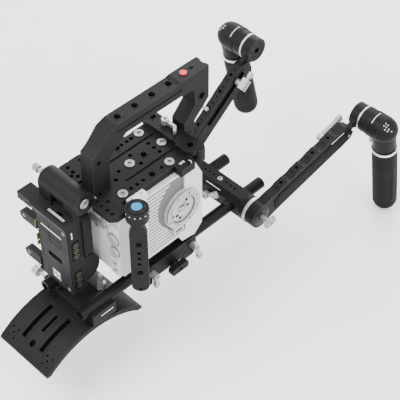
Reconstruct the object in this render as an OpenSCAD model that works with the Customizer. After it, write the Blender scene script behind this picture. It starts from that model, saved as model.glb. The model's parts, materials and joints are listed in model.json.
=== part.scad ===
// Cinema camera shoulder rig: box camera in a cage on 15 mm rods, with a top handle, a
// hinged battery plate, a shoulder pad, a front crossbar, two swing arms and two handgrips.
// Millimetres. +Z up, +Y forward (lens side), +X the operator's right.
// Origin: mouth of the tripod thread, in the middle of the bridge plate's underside.
// Inside the modules the heights are measured from the rods' axes (lift() moves them).

/* [Rods] */
// radius of the two support rods
rod_r = 7.5; // [7.4:0.1:7.5]
// half the distance between the rod axes
rod_half = 30; // [30:0.5:30.5]
// front end of the rods
rod_front = 191; // [180:1:210]
// rear end of the rods
rod_rear = -109; // [-118:1:-100]
// radial running clearance of the rod bores
rod_gap = 0.05; // [0.03:0.01:0.10]

/* [Camera] */
// half width of the camera body
cam_w = 43; // [42:0.5:43]
// rear face of the camera body
cam_rear = -50; // [-50:1:-46]
// radius of the round side port
port_r = 26; // [25:1:27]
// inner radius of the lens mount
lens_r = 24; // [22:1:25]

/* [Top plate and handle] */
// half width of the top plate
plate_w = 37; // [36:1:38]
// half width of the top handle
handle_w = 10; // [9:0.5:11]
// tapping radius of the 3/8 inch threads
big_r = 3.97; // [3.9:0.01:4.0]
// tapping radius of the 1/4 inch threads
small_r = 2.6; // [2.5:0.05:2.7]

/* [Arms] */
// rest pitch of the right arm
pitch_r = 12; // [0:1:20]
// rest pitch of the left arm
pitch_l = 39; // [30:1:45]
// pivot to rosette, right
reach_r = 194; // [188:1:200]
// pivot to rosette, left
reach_l = 168; // [168:1:180]
// forward lean of the right grip
lean_r = 10; // [0:1:20]
// forward lean of the left grip
lean_l = 14; // [0:1:20]
// radius of the handgrips
grip_r = 16.5; // [15:0.5:18]

/* [Hidden] */
up = 18;
back = 25;
port_y = 42;
port_z = 74;
dial_x = 34.6;
piv_y = 146;
piv_z = 4;
piv_in = 60.5;
arm_t = 13;
bar_y = -73.5;
bar_z = 142;
head_x = 59.5;
head_y = -40.6;

$fn = 48;

module lift() translate([0, -back, up]) children();
module bx(x0, x1, y0, y1, z0, z1) translate([x0, y0, z0]) cube([x1 - x0, y1 - y0, z1 - z0]);
module cx(x0, x1, y, z, r) translate([x0, y, z]) rotate([0, 90, 0]) cylinder(r = r, h = x1 - x0);
module cy(y0, y1, x, z, r) translate([x, y0, z]) rotate([-90, 0, 0]) cylinder(r = r, h = y1 - y0);
module cz(z0, z1, x, y, r) translate([x, y, z0]) cylinder(r = r, h = z1 - z0);
// side profile in Y and Z, pushed out along X
module side(x0, x1) translate([x0, 0, 0]) rotate([90, 0, 90]) linear_extrude(x1 - x0) children();
// rounded rectangle, exact corners
module rr(x0, x1, y0, y1, r) {
  translate([x0 + r, y0]) square([x1 - x0 - 2 * r, y1 - y0]);
  translate([x0, y0 + r]) square([x1 - x0, y1 - y0 - 2 * r]);
  for (x = [x0 + r, x1 - r], y = [y0 + r, y1 - r]) translate([x, y]) circle(r = r);
}
module flat(z0, z1) translate([0, 0, z0]) linear_extrude(z1 - z0) children();
// a threaded 3/8 inch hole with its four locating pin holes
module anti(z0, z1, x, y) {
  cz(z0, z1, x, y, big_r);
  for (s = [-1, 1], t = [-1, 1]) cz(z1 - 3, z1, x + 4.8 * s, y + 4.8 * t, 0.9);
}

// ---------------------------------------------------------------- camera
module camera_body() color([0.86, 0.87, 0.89]) lift() difference() {
  side(-cam_w, cam_w) polygon([[cam_rear, 29.2], [36, 29.2], [41, 18], [62, 15], [74, 27],
    [74, 108], [64, 129.8], [cam_rear, 129.8]]);
  // sunk field of the right side; the port's boss and the cooling fins stand in it
  difference() {
    side(cam_w - 2.6, cam_w + 1) polygon([[-11, 34], [-11, 126.6], [46, 126.6], [47, 34]]);
    cx(cam_w - 4, cam_w + 2, port_y, port_z, port_r + 1);
    bx(cam_w - 4, cam_w + 2, 24.6, 42, 39.4, 54);
    difference() {
      for (i = [0 : 16]) bx(cam_w - 4, cam_w + 2, -12, 46, 36.8 + i * 5.25, 39.2 + i * 5.25);
      cx(cam_w - 5, cam_w + 3, 44, 88, 40);
      side(cam_w - 5, cam_w + 3) polygon([[8, 72], [30, 38], [50, 38], [50, 88], [8, 88]]);
    }
  }
  for (i = [0 : 8]) bx(-cam_w - 1, -cam_w + 2.6, -30, 40, 40 + i * 9, 44 + i * 9);
  // lens opening
  cy(60, 76, 0, 73, 22);
}
module side_port() color([0.9, 0.9, 0.92]) lift() difference() {
  union() {
    cx(cam_w + 0.05, cam_w + 3.2, port_y, port_z, port_r);
    bx(cam_w + 0.05, cam_w + 2.4, 25, 41.6, 39.8, port_z - 20);
  }
  cx(cam_w + 1.8, cam_w + 4, port_y - 1, port_z, 18.6);
  for (a = [22.5 : 45 : 340])
    cx(cam_w + 2.2, cam_w + 4, port_y + 22.6 * cos(a), port_z + 22.6 * sin(a), 1.4);
  // contacts and screws of the inner disc
  bx(cam_w - 1, cam_w + 4, port_y - 5.5, port_y + 2, port_z + 3.6, port_z + 6.4);
  for (p = [[5, 11], [6.6, 1.4], [-17, 6.6], [-16.6, -2.4], [-10, -5.4], [-5.4, -11.6]])
    cx(cam_w - 1, cam_w + 4, port_y + p[0], port_z + p[1], 1.2);
  bx(cam_w - 1, cam_w + 4, 28.5, 39, 42.5, 45.5);
}
module lens_mount() color([0.75, 0.76, 0.78]) lift() difference() {
  cy(74.1, 86, 0, 73, 30);
  cy(73, 87, 0, 73, lens_r);
  for (a = [45 : 90 : 315]) cy(84, 87, 27 * cos(a), 73 + 27 * sin(a), 1.2);
}
module rear_panel() color([0.82, 0.83, 0.85]) lift() difference() {
  bx(-30, 42.4, cam_rear - 4, cam_rear - 0.1, 32, 127);
  for (x = [-26, 38], z = [36, 123]) cy(cam_rear - 5, cam_rear - 2, x, z, 1.4);
  cy(cam_rear - 5, cam_rear + 1, dial_x, 88, 2.05);
  cy(cam_rear - 5, cam_rear + 1, dial_x + 1.5, 70, 2.05);
}
module dial(x, z, r) difference() {
  union() {
    cy(cam_rear - 8, cam_rear - 4.4, x, z, r);
    cy(cam_rear - 5, cam_rear - 0.6, x, z, 2);
  }
  bx(x - 0.8, x + 0.8, cam_rear - 9, cam_rear - 7, z, z + r + 1);
}
module dial_upper() color([0.88, 0.89, 0.9]) lift() dial(dial_x, 88, 7.6);
module dial_lower() color([0.88, 0.89, 0.9]) lift() dial(dial_x + 1.5, 70, 6.4);
module rear_connector() color([0.8, 0.81, 0.83]) lift() difference() {
  bx(29, 42.4, cam_rear - 7, cam_rear - 4.1, 34, 57);
  for (z = [40, 51]) bx(32, 39.4, cam_rear - 8, cam_rear - 5, z - 3.5, z + 3.5);
}
// bent light-alloy clip on the rear panel, with a strap over the edge of the cage
module rear_bracket() color([0.8, 0.81, 0.83]) lift() difference() {
  union() {
    bx(5, 24, -58.6, cam_rear - 4.1, 120.5, 124.5);
    bx(19.5, 24, -58.6, cam_rear - 4.1, 99, 124.5);
    bx(-4, 24, -58.6, cam_rear - 4.1, 99, 103.5);
    cy(-58.6, cam_rear - 4.1, 12, 99, 4.6);
    bx(5, 8.6, -59.3, -58.3, 120.5, 141.3);
    bx(-10, 14, -59.3, -57.3, 139.95, 141.3);
  }
  cy(-60, cam_rear - 3, 12, 99, 1.8);
}
// light block in the notch beside the cage, drilled for a cable tie
module cable_clip() color([0.84, 0.85, 0.87]) lift() difference() {
  flat(129.9, 139) polygon([[37.2, -36], [44, -36], [45, -30], [45, -12], [37.2, -12]]);
  cz(129, 140, 41.4, -31, 1.6);
  cz(129, 140, 41.4, -18, 1.6);
}

// ---------------------------------------------------------------- cage
module top_plate() color([0.1, 0.1, 0.11]) lift() difference() {
  flat(130, 140) polygon([[-plate_w, -22], [-15, -22], [-15, -44], [plate_w, -44],
    [plate_w, 27], [plate_w, 66], [-plate_w, 66]]);
  for (s = [-1, 1]) bx(s * 17 - 2, s * 17 + 2, -18, 58, 138, 141);
  anti(129, 141, 0, 25);
  anti(129, 141, 29, 10.3);
  anti(129, 141, -29, 10.6);
  for (p = [[0, -12.6], [8, -24], [-9.5, 13.4], [8, 13.4], [-9.5, 41], [0, 41], [9, 41],
    [29, -21], [29, -12], [29, -3], [29, 25], [-29, 18], [-29, 26], [-29, 33]])
    cz(129, 141, p[0], p[1], small_r);
  for (p = [[0, 4], [0, 53], [-29, 45], [29, -33], [29, 37]]) cz(129, 141, p[0], p[1], 3.1);
}
module top_screws() color([0.8, 0.8, 0.82]) lift()
  for (p = [[0, 4], [0, 53], [-29, 45], [29, -33], [29, 37]]) difference() {
    union() {
      cz(140.05, 141.4, p[0], p[1], 5.8);
      cz(130.5, 140.2, p[0], p[1], 3);
    }
    bx(p[0] - 4, p[0] + 4, p[1] - 0.6, p[1] + 0.6, 140.6, 142);
  }
module front_bracket() color([0.1, 0.1, 0.11]) lift() difference() {
  union() {
    flat(130, 147) polygon([[-41, 66.3], [45, 66.3], [47, 69], [47, 75], [42, 79], [-41, 79]]);
    bx(-41, 20, 59, 67, 140.1, 147);
    cz(140.1, 147, 30.5, 68, 12.4);
    bx(18, 30.5, 56.5, 67, 140.1, 147);
  }
  anti(138, 148, -33, 70.5);
  anti(138, 148, 30.5, 67.5);
  cz(140.5, 148, -14.5, 72.6, 2.05);
  bx(-42, -38, 58, 62, 139, 148);
}
module side_clamp() color([0.1, 0.1, 0.11]) lift() difference() {
  flat(129.9, 140) union() {
    rr(plate_w + 0.05, 49, 36, 58, 1.5);
    polygon([[plate_w + 0.05, 40], [40, 36], [49, 40], [49, 50], [42, 58], [plate_w + 0.05, 58]]);
  }
  cz(129, 141, 45.6, 51, 2);
  for (p = [[39.4, 38.6], [46.6, 40.2], [46.6, 46]]) cz(137, 141, p[0], p[1], 0.9);
}
module cheese_plate() color([0.1, 0.1, 0.11]) lift() difference() {
  flat(131, 139.5) union() {
    rr(-52, -19, -58, -40, 5);
    rr(-52, -15.4, -45, -22.4, 5);
  }
  for (p = [[-35, -48.5], [-26, -49], [-31, -54], [-30, -33], [-22.5, -38.5], [-44, -48],
    [-44, -30]]) cz(130, 140, p[0], p[1], small_r);
}
module top_handle() color([0.1, 0.1, 0.11]) lift() difference() {
  side(-handle_w, handle_w) difference() {
    polygon([[-57, 140.1], [-33, 140.1], [-33, 174], [-30, 180], [-14, 195], [-6, 200],
      [90, 200], [96, 195], [96, 174], [79.2, 156], [79.2, 133], [91, 133], [95, 137],
      [95, 152], [118, 174], [118, 220], [75, 220], [70, 218.4], [-19, 218.4], [-31, 214],
      [-45, 199], [-55, 192]]);
    translate([107, 182]) circle(r = 4.4);
    translate([87, 140]) circle(r = 1.6);
  }
  for (y = [-9.6, 15.4, 40.4, 65.4]) anti(208, 219, 0, y);
  // side grooves
  for (s = [-1, 1]) bx(s * handle_w - 1.2, s * handle_w + 1.2, -20, 76, 207, 211);
  // well of the record button
  cz(215, 221, 0, 88, 4.6);
  cz(211, 216, 0, 88, 2.3);
  bx(-2, 2, 97, 103, 218.5, 221);
  bx(-4, 4, 116.5, 119, 216, 221);
  cx(-11, 11, -47, 182, 3);
  for (s = [-1, 1]) cx(s * 11 - 1.5, s * 11 + 1.5, -45, 166, 2);
}
module record_button() color([0.85, 0.06, 0.08]) lift() union() {
  cz(216.5, 221.2, 0, 88, 4.3);
  cz(212.5, 217, 0, 88, 2);
}
// a ratchet lever: hub, waist and bent finger, built along +X with its bolt on +Y
module lever(len) difference() {
  union() {
    cy(0, 7, 0, 0, 5);
    translate([0, 1.5, -2.6]) cube([len, 4, 5.2]);
    translate([len - 3, 1.5, -4]) cube([7, 4, 8]);
    cy(-8, 0.5, 0, 0, 2);
  }
  cy(5, 8, 0, 0, 2);
}
// lies on the bracket's top, its finger bent towards the rear
module front_lever() color([0.8, 0.8, 0.82]) lift() translate([-14.5, 72.6, 0]) difference() {
  union() {
    cz(147.2, 154, 0, 0, 4.6);
    translate([0, -1.7, 149]) cube([17, 3.4, 4]);
    translate([15.6, 0, 148]) rotate([0, 0, -45]) translate([0, -1.7, 0]) cube([9, 3.4, 5]);
    cz(141, 148, 0, 0, 2);
  }
  cz(152, 155, 0, 0, 1.8);
}
module side_bracket() color([0.1, 0.1, 0.11]) lift() difference() {
  union() {
    flat(131, 139.8) polygon([[4.8, -46], [4.8, -57], [14, -59], [14, -64], [18, -67],
      [44, -67], [50, -60], [50, -46], [36, -44.4], [8, -44.4]]);
    flat(131, 139.8) polygon([[44, -56], [56, -44], [52, -37], [40, -46]]);
    cz(131, 139.8, head_x, head_y, 13);
  }
  for (p = [[18, -60], [43, -61], [26, -52], [12, -50.5], [35, -61], [26, -61]])
    cz(130, 141, p[0], p[1], small_r);
  cz(130, 141, head_x, head_y, 6.05);
}
// arm that hangs from the bracket's round end, its face turned to the right rear
module side_arm() color([0.11, 0.11, 0.12]) lift()
  translate([head_x, head_y, 0]) rotate([0, 0, 45]) difference() {
    union() {
      cz(140.2, 147, 0, 0, 13);
      cz(120, 140.5, 0, 0, 6);
      cz(116, 130.6, 0, 0, 7.2);
      rotate([90, 0, 0]) translate([0, 0, -4]) linear_extrude(8) polygon([[-6, 123],
        [-10, 108], [-10, 24], [10, 24], [10, 108], [6, 123]]);
      cy(-4, 4, 0, 24, 10);
    }
    cy(-5, 5, 0, 92, big_r);
    cy(-5, 5, 0, 46, big_r);
    for (z = [60, 69, 78]) cy(-5, 5, 0, z, small_r);
    cy(-5, 5, 0, 18, 2.2);
    cz(143, 148, 0, 0, 8.6);
    cz(134, 144, 0, 0, 2.3);
  }
module blue_button() color([0.12, 0.55, 0.75]) lift() union() {
  cz(144.6, 149, head_x, head_y, 8.2);
  cz(135.5, 145, head_x, head_y, 2);
}

// ---------------------------------------------------------------- battery plate
module hinge_bracket() color([0.1, 0.1, 0.11]) lift() difference() {
  union() {
    bx(-14.8, 4.4, -58.8, -44.4, 131, 139.8);
    bx(-27.6, -6.4, bar_y, -59, 131, 139.8);
    cx(-27.6, -6.4, bar_y, bar_z, 14);
  }
  cx(-29, -5, bar_y, bar_z, 3.05);
}
module battery_hinge() color([0.13, 0.13, 0.14]) lift() difference() {
  union() {
    cx(-48, -28, bar_y, bar_z, 14);
    cx(-6, 13, bar_y, bar_z, 14);
    bx(-48, -28, bar_y - 14, bar_y, 124.6, bar_z);
    bx(-6, 9.6, bar_y - 14, bar_y, 124.6, bar_z);
  }
  cx(-49, -27, bar_y, bar_z, 3.05);
  cx(-7, 10, bar_y, bar_z, 3.05);
  cx(9.8, 14, bar_y, bar_z, 6.05);
}
module hinge_screw() color([0.82, 0.82, 0.84]) lift() difference() {
  union() {
    cx(-72, 10.2, bar_y, bar_z, 3);
    cx(10, 13.6, bar_y, bar_z, 6);
    cx(-70, -62, bar_y, bar_z, 4.6);
    cx(-56, -48.4, bar_y, bar_z, 6);
  }
  bx(13, 15, bar_y - 4, bar_y + 4, bar_z - 0.7, bar_z + 0.7);
}
module battery_plate() color([0.1, 0.1, 0.11]) lift() difference() {
  union() {
    side(-48, 10) polygon([[-100, 11], [-97, 8.2], [-79, 8.2], [-79, 124.4], [-101, 124.4],
      [-103, 121], [-100, 112]]);
    // top ledge and the two side ears
    bx(-69, -47, -102, -82, 114, 124.4);
    for (z = [19, 81]) {
      side(-70, -47) polygon([[-97, z - 7], [-89, z - 7], [-89, z + 7], [-97, z + 7]]);
      cy(-97, -89, -70, z, 7);
    }
    // rounded rib behind the plate
    side(2, 9) difference() {
      translate([-76, 36]) circle(r = 19);
      translate([-120, 0]) square([41.2, 90]);
    }
    bx(2, 9, -80, -70, 26, 46);
  }
  // latch keyway and label recess on the rear face
  bx(-22, -2, -104, -98.2, 78, 104);
  bx(-23, -7, -101, -90, 52, 60);
  cy(-101, -90, -7, 56, 4);
  cy(-101, -90, -23, 56, 4);
  // battery rail cut at the left edge
  side(-49, -40) polygon([[-104, 14], [-95, 14], [-95, 108], [-104, 108]]);
  for (x = [-36, -26]) cz(114, 126, x, -87, 2);
  bx(-13, -4, -93, -89, 118, 126);
  for (x = [4, -70]) for (z = x > 0 ? [16, 108] : [19, 81]) {
    cy(x > 0 ? -101 : -98, x > 0 ? -98 : -95, x, z, 2.9);
    cy(x > 0 ? -99 : -96, -88, x, z, 1.6);
  }
  for (z = [78, 30]) bx(8, 11, -95, -84, z - 14, z + 14);
}
// frame behind the plate, with round lower corners
module battery_frame() color([0.1, 0.1, 0.11]) lift() difference() {
  translate([0, -67, 0]) rotate([90, 0, 0]) linear_extrude(11.9) rr(-40, 13, 56, 122, 9);
  bx(-30, 3, -68, -66, 66, 112);
}
module battery_ports() color([0.75, 0.6, 0.25]) lift()
  for (z = [78, 30]) difference() {
    bx(8.1, 10.8, -94.8, -84.2, z - 13.6, z + 13.6);
    for (i = [-1, 0, 1]) cx(9, 12, -89.5, z + i * 8.6, 3.1);
  }
module battery_screws() color([0.8, 0.8, 0.82]) lift() {
  for (x = [4, -70]) for (z = x > 0 ? [16, 108] : [19, 81]) {
    cy(x > 0 ? -99.9 : -96.9, x > 0 ? -98.2 : -95.2, x, z, 2.6);
    cy(x > 0 ? -98.4 : -95.4, -90, x, z, 1.3);
  }
}

// ---------------------------------------------------------------- base and rods
module riser_plate() color([0.07, 0.07, 0.08]) lift() difference() {
  bx(-34, 34, -34, 35.4, 12.1, 29.1);
  cz(11, 30, 0, 0, 3.3);
  for (s = [-1, 1]) bx(s * 34 - 4, s * 34 + 4, -28, 30, 17, 24);
}
module bridge_plate() color([0.1, 0.1, 0.11]) lift() difference() {
  side(-43, 43) polygon([[-30, -10], [-24, -18], [58, -18], [64, -12], [64, 8], [60, 12],
    [-26, 12], [-30, 8]]);
  for (s = [-1, 1]) {
    cy(-31, 65, s * rod_half, 0, rod_r + rod_gap);
    cx(s * 43 - 8, s * 43 + 8, 57, 0, 2.05);
    cx(s * 43 - 8, s * 43 + 8, -8, 0, 2.05);
  }
  bx(-20, 20, -31, 65, -4, 13);
  bx(-44, -38, -8, 42, -19, -11);
  bx(38, 44, -8, 42, -19, -11);
  cx(37.6, 44, 25, -7, 2.55);
  cz(-19, -8, 0, back, big_r);
  for (y = [back - 14, back + 14]) cz(-19, -8, 0, y, small_r);
}
module base_lever(s, y, a, len) translate([s * 43.2, y, 0]) rotate([a, 0, 0])
  mirror([s > 0 ? 0 : 1, 0, 0]) rotate([0, 0, -90]) mirror([1, 0, 0]) difference() {
    union() {
      cy(0, 9, 0, 0, 4.6);
      translate([0, 3, -2.4]) cube([len - 4, 5, 4.8]);
      translate([len - 6, 3, -3.4]) cube([6, 5, 6.8]);
      cy(-5, 0.5, 0, 0, 2);
    }
    cy(7, 10, 0, 0, 1.8);
  }
module rod_levers_front() color([0.8, 0.8, 0.82]) lift() base_lever(1, 57, -72, 25);
module rod_levers_rear() color([0.8, 0.8, 0.82]) lift() base_lever(1, -8, -86, 19);
module dovetail_knob() color([0.09, 0.09, 0.1]) lift() difference() {
  union() {
    cx(38, 46, 25, -7, 2.5);
    cx(44, 50, 25, -7, 6);
    side(49, 57) rr(12, 38, -12, -2, 3);
  }
  cx(55, 58, 25, -7, 2.6);
}
module rods() color([0.1, 0.1, 0.11]) lift() for (s = [-1, 1]) difference() {
  cy(rod_rear, rod_front, s * rod_half, 0, rod_r);
  cy(rod_front - 16, rod_front + 1, s * rod_half, 0, 5.1);
  cy(rod_rear - 1, rod_rear + 16, s * rod_half, 0, 5.1);
  bx(s * rod_half - 1.5, s * rod_half + 1.5, 84, 126, 5.4, 8);
}

// ---------------------------------------------------------------- crossbar
module crossbar() color([0.1, 0.1, 0.11]) lift() difference() {
  union() {
    side(-56, 56) polygon([[134, -8], [138, -12], [155, -12], [158, -9], [158, 15], [141, 15],
      [134, 8]]);
    for (s = [-1, 1]) cx(s * 52 - 4, s * 52 + 4, piv_y, piv_z, 15.9);
  }
  for (s = [-1, 1]) {
    cy(128, 164, s * rod_half, 0, rod_r + rod_gap);
    cx(s * 52 - 9, s * 52 + 9, piv_y, piv_z, 3.3);
  }
  for (x = [-25.2, -17.9, -10.6, 10.6, 17.9, 25.2]) cz(10, 16, x, 149.4, 1.7);
  cz(9, 16, 0, 149.4, 3.5);
  cy(133, 142, -6, -4, 2.05);
}
module crossbar_lever() color([0.8, 0.8, 0.82]) lift()
  translate([-6, 133.6, -4]) mirror([0, 1, 0]) rotate([0, -34, 0]) lever(19);
module crossbar_rings() color([0.85, 0.85, 0.87]) lift() for (s = [-1, 1]) difference() {
  cx(s * 58.1 - 2, s * 58.1 + 2, piv_y, piv_z, 17.4);
  cx(s * 58.1 - 3, s * 58.1 + 3, piv_y, piv_z, 5);
}

// ---------------------------------------------------------------- arms
// place a child drawn along +Y from the pivot, arm pitched up, on side s
module arm_at(s, pitch) lift() mirror([s > 0 ? 0 : 1, 0, 0])
  translate([piv_in, piv_y, piv_z]) rotate([pitch, 0, 0]) children();
// outline of an arm with a shallow dip between its four groups of top holes
function arm_top(up, first, gap, dip) = [for (g = [3 : -1 : 0]) each
  [[first + g * gap + 11, up - dip], [first + g * gap + 6, up], [first + g * gap - 6, up],
    [first + g * gap - 11, up - dip]]];
module arm_body(len, up, down, hub, first, gap, dip) difference() {
  union() {
    cx(0, arm_t, 0, 0, 16.5);
    side(0, arm_t) polygon(concat([[0, -16.5], [10, -down - 1], [26, -down],
      [len - 12, -down], [len - 3, -down + 4], [len, -4], [len, up - 9],
      [len - 10, up - 1.5]], arm_top(up, first, gap, dip), [[20, up - 0.5], [8, 15], [0, 16.5]]));
  }
  // channel of the extension, slots in both faces
  bx(2.6, 9.9, 44, len + 1, -6.3, 5.3);
  bx(-1, 4, 56, len - 14, -5, 3);
  bx(-1, 0.9, 24, len - 9, up - 6.4, up - 4.2);
  cx(-1, 14, 0, 0, 4.05);
  for (g = [0 : 3], i = [-1, 0, 1])
    cz(up - 5, up + 3, 6.3, first + g * gap + i * 0.3 * gap, i == 0 ? 2.4 : 1.3);
  cx(-1, 3, hub[0], hub[1], 2.4);
  for (y = [36, 45]) cx(-1, 2.4, y, -down + 6, 1.3);
}
module pivot_bolt() difference() {
  union() {
    cx(-11, 14, 0, 0, 3);
    cx(13.3, 30, 0, 0, 4);
    translate([24, -8, -3.4]) cube([6, 16, 6.8]);
  }
  cx(29, 31, 0, 0, 1.8);
}
module extension_bar(reach) difference() {
  union() {
    bx(5.4, 9.5, reach - 108, reach - 10, -5.9, 4.9);
    side(2, arm_t - 2) polygon([[reach - 17, -6], [reach - 17, 5], [reach - 9, 11],
      [reach, 14], [reach, -14], [reach - 9, -11]]);
    cx(0.4, arm_t, reach, 0, 16);
  }
  cx(-1, 14, reach, 0, 4.05);
}
module rosette_ring(reach) difference() {
  cx(arm_t + 0.1, arm_t + 2.7, reach, 0, 16.8);
  cx(arm_t, arm_t + 3, reach, 0, 4.5);
}
// silver clamping lever on the arm's inner face
module arm_lever(hub, a, len) translate([-0.4, hub[0], hub[1]]) rotate([a, 0, 0]) difference() {
  union() {
    cx(-8, 0, 0, 0, 5);
    translate([-7, 0, -3.4]) cube([5, len, 6.8]);
    translate([-7, len - 3, -4.6]) cube([5, 8, 9.2]);
    cx(-1, 3, 0, 0, 2.3);
  }
  cx(-9, -6, 0, 0, 2);
}
// knuckle and grip are drawn hanging from the rosette axis, already leaned
module hang_at(s, pitch, reach, lean) lift() mirror([s > 0 ? 0 : 1, 0, 0])
  translate([piv_in, piv_y + reach * cos(pitch), piv_z + reach * sin(pitch)])
  rotate([lean, 0, 0]) children();
module knuckle() difference() {
  union() {
    cx(arm_t + 3, 29, 0, 0, 16.9);
    cx(28, 45.5, 0, 0, 17.6);
    translate([45.5, 0, 0]) sphere(r = 17.2);
    translate([45.5, 0, -30]) cylinder(r = 15, h = 30);
  }
  cx(arm_t + 2, 40, 0, 0, 4.05);
  translate([45.5, 0, -31]) cylinder(r = 5.05, h = 16);
  translate([arm_t + 9.5, 0, -20]) cylinder(r = 2.05, h = 10);
}
module hand_grip(len) union() {
  translate([45.5, 0, -len + grip_r]) cylinder(r = grip_r, h = len - grip_r - 35);
  translate([45.5, 0, -len + grip_r]) difference() {
    sphere(r = grip_r);
    translate([-30, -30, 0]) cube([60, 60, 30]);
  }
  translate([45.5, 0, -35.2]) cylinder(r = 17.1, h = 3);
  translate([45.5, 0, -32.6]) cylinder(r = 5, h = 14);
}
module grip_lever() difference() {
  union() {
    translate([arm_t + 9.5, 0, -23]) cylinder(r = 5, h = 5.4);
    translate([arm_t + 5, -5, -22]) cube([8.6, 10, 4]);
    translate([arm_t + 10.2, -4, -37]) cube([3.2, 8, 18]);
    translate([arm_t + 9.5, 0, -20]) cylinder(r = 2, h = 9);
  }
  translate([arm_t + 9.5, 0, -24]) cylinder(r = 2, h = 2);
}
len_r = 168;
len_l = 150;
hub_r = [131, 9];
hub_l = [122, 0];
up_l = 10.5;
pin_y = 72;
// outline of the rubber side pad, with a margin
module pad_outline(m) polygon([[24 - m, -10.6 - m], [150, -12.4 - m], [165 + m, -11 - m],
  [170 + m, -6 - m], [170 + m, -2], [166 + m, 2 + m], [146, 6.5 + m], [34, 9 + m], [24 - m, 4]]);
module arm_right() color([0.1, 0.1, 0.11]) arm_at(1, pitch_r) difference() {
  arm_body(len_r, 16, 14, hub_r, 44.5, 29, 1.5);
  side(arm_t - 1, arm_t + 1) pad_outline(0.3);
  cx(arm_t - 6, arm_t, 162, -4.6, 1.6);
}
module arm_pad_right() color([0.06, 0.06, 0.06]) arm_at(1, pitch_r) difference() {
  side(arm_t - 0.9, arm_t + 1.6) pad_outline(0);
  cx(arm_t + 0.6, arm_t + 2, 162, -4.6, 2.2);
}
module pivot_bolt_right() color([0.8, 0.8, 0.82]) arm_at(1, pitch_r) pivot_bolt();
module extension_right() color([0.1, 0.1, 0.11]) arm_at(1, pitch_r) extension_bar(reach_r);
module arm_lever_right() color([0.8, 0.8, 0.82]) arm_at(1, pitch_r) arm_lever(hub_r, 3, 34);
module ring_right() color([0.85, 0.85, 0.87]) arm_at(1, pitch_r) rosette_ring(reach_r);
module knuckle_right() color([0.1, 0.1, 0.11]) hang_at(1, pitch_r, reach_r, lean_r) knuckle();
module grip_right() color([0.09, 0.09, 0.09]) hang_at(1, pitch_r, reach_r, lean_r) hand_grip(156);
module grip_lever_right() color([0.8, 0.8, 0.82])
  hang_at(1, pitch_r, reach_r, lean_r) grip_lever();
module arm_left() color([0.1, 0.1, 0.11]) arm_at(-1, pitch_l) difference() {
  arm_body(len_l, up_l, 17, hub_l, 49.8, 24.9, 0.4);
  // groove of the thumb screw that lies across the top
  cx(9, 14, pin_y, up_l + 1.5, 2);
  cx(3.6, 9.2, pin_y, up_l + 1.5, 2.8);
}
module pivot_bolt_left() color([0.8, 0.8, 0.82]) arm_at(-1, pitch_l) pivot_bolt();
module thumb_screw_left() color([0.75, 0.75, 0.77]) arm_at(-1, pitch_l) union() {
  cx(4.5, 9, pin_y, up_l + 1.5, 2.6);
  cx(8.5, 20, pin_y, up_l + 1.5, 1.9);
  cx(14.6, 20.6, pin_y, up_l + 1.5, 2.9);
}
module extension_left() color([0.1, 0.1, 0.11]) arm_at(-1, pitch_l) extension_bar(reach_l);
module arm_lever_left() color([0.8, 0.8, 0.82]) arm_at(-1, pitch_l)
  translate([-0.4, hub_l[0], hub_l[1]]) difference() {
    union() {
      cx(-8, 0, 0, 0, 4.4);
      cx(-1, 3, 0, 0, 2.3);
      translate([-15, -6, -5]) cube([7.6, 15, 10]);
      cy(8, 13, -11, 0, 2.2);
      cy(11.5, 19, -11, 0, 3.9);
    }
    translate([-16, -7, -0.7]) cube([1.8, 17, 1.4]);
  }
module ring_left() color([0.85, 0.85, 0.87]) arm_at(-1, pitch_l) rosette_ring(reach_l);
module knuckle_left() color([0.1, 0.1, 0.11]) hang_at(-1, pitch_l, reach_l, lean_l) knuckle();
module grip_left() color([0.09, 0.09, 0.09]) hang_at(-1, pitch_l, reach_l, lean_l) hand_grip(153);
module grip_lever_left() color([0.8, 0.8, 0.82])
  hang_at(-1, pitch_l, reach_l, lean_l) grip_lever();

// ---------------------------------------------------------------- shoulder pad
module shoulder_clamp() color([0.1, 0.1, 0.11]) lift() difference() {
  bx(-43, 43, -100, -66, -18, -1);
  for (s = [-1, 1]) cy(-101, -65, s * rod_half, 0, rod_r + rod_gap);
  bx(-18, 18, -101, -65, -6, 0);
  cx(-44, -36, -94, -10, 2.05);
  cy(-73, -65, 13, -9.5, 2.05);
}
module clamp_knob() color([0.8, 0.8, 0.82]) lift() difference() {
  union() {
    cx(-60, -37, -94, -10, 2);
    cx(-49, -43.4, -94, -10, 3.6);
    cx(-67, -59, -94, -10, 6.5);
  }
  cx(-68, -65.6, -94, -10, 2);
}
// small release lever in front of the shoulder clamp
module release_lever() color([0.85, 0.85, 0.87]) lift() difference() {
  union() {
    cy(-72, -62, 13, -9.5, 2);
    cy(-65.9, -61.6, 13, -9.5, 4.4);
    translate([0, -61.6, 0]) rotate([90, 0, 0]) linear_extrude(3.6)
      polygon([[10, -8], [16, -8], [17.6, 2], [23, 11.5], [21.6, 15.5], [16.8, 11], [18, 20],
        [13.4, 22], [11, 6]]);
  }
  cy(-63, -61, 13, -9.5, 1.8);
}
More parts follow.
